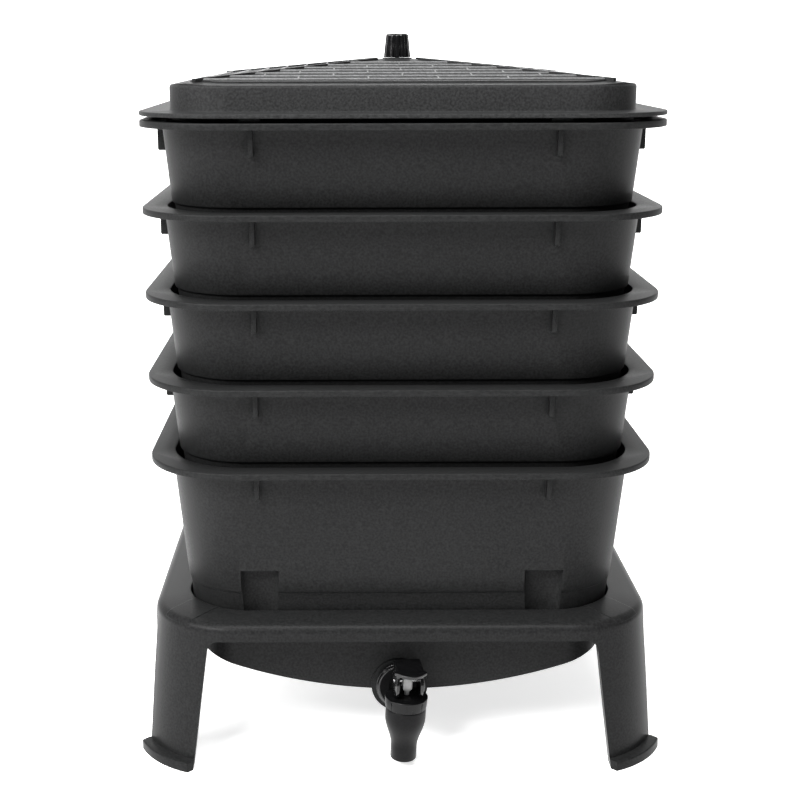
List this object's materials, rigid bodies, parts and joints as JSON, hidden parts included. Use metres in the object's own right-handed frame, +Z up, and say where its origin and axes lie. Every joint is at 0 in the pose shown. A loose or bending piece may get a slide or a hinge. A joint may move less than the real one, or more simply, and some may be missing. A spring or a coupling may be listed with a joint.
{
  "type": "worm composter",
  "caption": "Square worm composter: nesting trays with a tiled lid over a collector tank with a drain tap, on a four-legged stand.",
  "frame": {"origin": "on the floor, under the middle of the stand", "axes": "+Z up, the tap and its arch face -Y, +X to the right as seen from the tap's side"},
  "size_m": [0.4434, 0.4519, 0.5964],
  "materials": {
    "stand_plastic": "fine grained",
    "tray_plastic": "fine grained",
    "lid_plastic": "fine grained",
    "gloss_black": "polished",
    "seal_rubber": "smooth",
    "stem_plastic": "satin",
    "steel": "bright",
    "inner_plastic": "plain"
  },
  "bodies": {
    "base": {"stand": "stand_plastic", "tank": "tray_plastic", "tap_body": "gloss_black", "tap_outer_washer": "seal_rubber", "tap_inner_washer": "seal_rubber", "tap_backnut": "gloss_black", "tap_strainer": "inner_plastic", "tap_cap": "gloss_black", "tap_spring": "steel"},
    "tray_4": {"tray_4": "tray_plastic"},
    "tray_3": {"tray_3": "tray_plastic"},
    "tray_2": {"tray_2": "tray_plastic"},
    "tray_1": {"tray_1": "tray_plastic"},
    "lid": {"lid": "lid_plastic", "lid_knob": "gloss_black", "knob_washer": "steel", "knob_screw": "steel"},
    "plunger": {"tap_stem": "stem_plastic", "tap_seat": "seal_rubber"},
    "lever": {"tap_lever": "gloss_black", "tap_lever_pin": "steel"},
    "ladder": {"worm_ladder": "inner_plastic"}
  },
  "joints": [
    {"name": "tray_4_lift", "type": "slide", "parent": "base", "child": "tray_4", "axis": [0, 0, 1], "range_m": [0, 0.16]},
    {"name": "tray_3_lift", "type": "slide", "parent": "tray_4", "child": "tray_3", "axis": [0, 0, 1], "range_m": [0, 0.16]},
    {"name": "tray_2_lift", "type": "slide", "parent": "tray_3", "child": "tray_2", "axis": [0, 0, 1], "range_m": [0, 0.16]},
    {"name": "tray_1_lift", "type": "slide", "parent": "tray_2", "child": "tray_1", "axis": [0, 0, 1], "range_m": [0, 0.16]},
    {"name": "lid_lift", "type": "slide", "parent": "tray_1", "child": "lid", "axis": [0, 0, 1], "range_m": [0, 0.1]},
    {"name": "ladder_lift", "type": "slide", "parent": "base", "child": "ladder", "axis": [0, 0, 1], "range_m": [0, 0.03]},
    {"name": "plunger_travel", "type": "slide", "parent": "base", "child": "plunger", "axis": [0.0436, 0, 0.999], "range_m": [0, 0.002], "stiffness_N_per_m": 230, "springref_m": -0.005, "deforming": ["tap_spring"]},
    {"name": "lever_press", "type": "hinge", "parent": "plunger", "child": "lever", "pos_m": [0.0042, -0.20699, 0.07563], "axis": [0.9916, 0.1219, -0.0433], "range_deg": [0, 30]}
  ],
  "couplings": [
    {"joint": "lever_press", "follows": "plunger_travel", "rad_per_m": 250}
  ]
}
